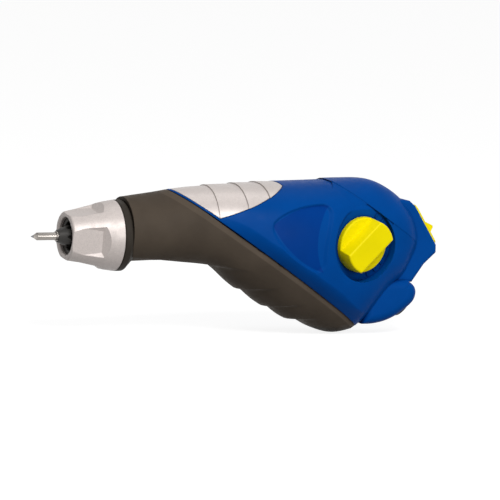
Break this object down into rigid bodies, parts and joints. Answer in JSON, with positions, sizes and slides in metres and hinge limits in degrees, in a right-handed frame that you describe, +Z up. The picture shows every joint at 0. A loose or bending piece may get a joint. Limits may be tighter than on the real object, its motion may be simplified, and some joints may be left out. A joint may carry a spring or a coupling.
{
  "type": "electric engraver",
  "caption": "Hand-held electric engraver: moulded body on a rubber grip, screw-on nose round a sprung needle, stroke dial on the left side, slide switch at the rear and a cord inlet below it.",
  "frame": {"origin": "on the needle axis, at the front face of the collet where the needle comes out", "axes": "+X back along the needle axis, +Z up, -Y to the side with the stroke dial"},
  "size_m": [0.1866, 0.0524, 0.067],
  "materials": {
    "blue_body": "satin moulded plastic",
    "grip_rubber": "soft matt rubber",
    "silver_trim": "silver lacquer",
    "silver_metal": "satin",
    "black_plastic": "black moulded",
    "dark_steel": "blackened",
    "tool_steel": "ground",
    "carbide": "ground",
    "yellow_plastic": "moulded",
    "soft_iron": "plain",
    "bronze": "plain",
    "seal_rubber": "matt",
    "nylon": "moulded",
    "copper": "enamelled wire",
    "spring_steel": "drawn wire",
    "switch_case": "moulded",
    "lead_cover": "insulation",
    "zinc_steel": "zinc plated"
  },
  "bodies": {
    "housing": {"left_housing": "blue_body", "right_housing": "blue_body", "soft_grip": "grip_rubber", "finger_rest": "silver_trim", "barrel_collar": "black_plastic", "front_bush": "bronze", "rear_bush": "bronze", "buffer_ring": "seal_rubber", "coil_bobbin": "nylon", "coil_winding": "copper", "yoke_frame": "soft_iron", "switch_plate": "yellow_plastic", "switch_body": "switch_case", "switch_terminals": "bronze", "lead_wires": "lead_cover", "cord_gland": "seal_rubber", "housing_screws": "zinc_steel", "return_spring": "spring_steel"},
    "striker": {"needle": "tool_steel", "carbide_point": "carbide", "collet": "tool_steel", "collet_nut": "dark_steel", "plunger_rod": "tool_steel", "armature": "soft_iron"},
    "nose_ring": {"nose_liner": "black_plastic"},
    "nose": {"nose_cone": "silver_metal"},
    "dial": {"stroke_knob": "yellow_plastic", "cam_shaft": "nylon", "knob_seal": "seal_rubber"},
    "preload": {"spring_seat": "nylon"},
    "switch": {"switch_slider": "yellow_plastic"}
  },
  "joints": [
    {"name": "needle_stroke", "type": "slide", "parent": "housing", "child": "striker", "axis": [1, 0, 0], "range_m": [0, 0.0012], "stiffness_N_per_m": 800, "springref_m": -0.003, "deforming": ["return_spring"]},
    {"name": "nose_travel", "type": "slide", "parent": "housing", "child": "nose_ring", "axis": [-1, 0, 0], "range_m": [0, 0.0046]},
    {"name": "nose_turn", "type": "hinge", "parent": "nose_ring", "child": "nose", "pos_m": [0.015, 0, 0], "axis": [-1, 0, 0], "range_deg": [0, 1080]},
    {"name": "dial_turn", "type": "hinge", "parent": "housing", "child": "dial", "pos_m": [0.135, -0.017, -0.0035], "axis": [-0.2237, 0.969, 0.1045], "range_deg": [-135, 135]},
    {"name": "seat_slide", "type": "slide", "parent": "housing", "child": "preload", "axis": [-1, 0, 0], "range_m": [-0.001, 0.001]},
    {"name": "switch_slide", "type": "slide", "parent": "housing", "child": "switch", "axis": [-0.5145, 0, 0.8575], "range_m": [0, 0.004]}
  ],
  "couplings": [
    {"joint": "nose_travel", "follows": "nose_turn", "m_per_rad": 0.00023873},
    {"joint": "seat_slide", "follows": "dial_turn", "m_per_rad": 0.00040936}
  ]
}
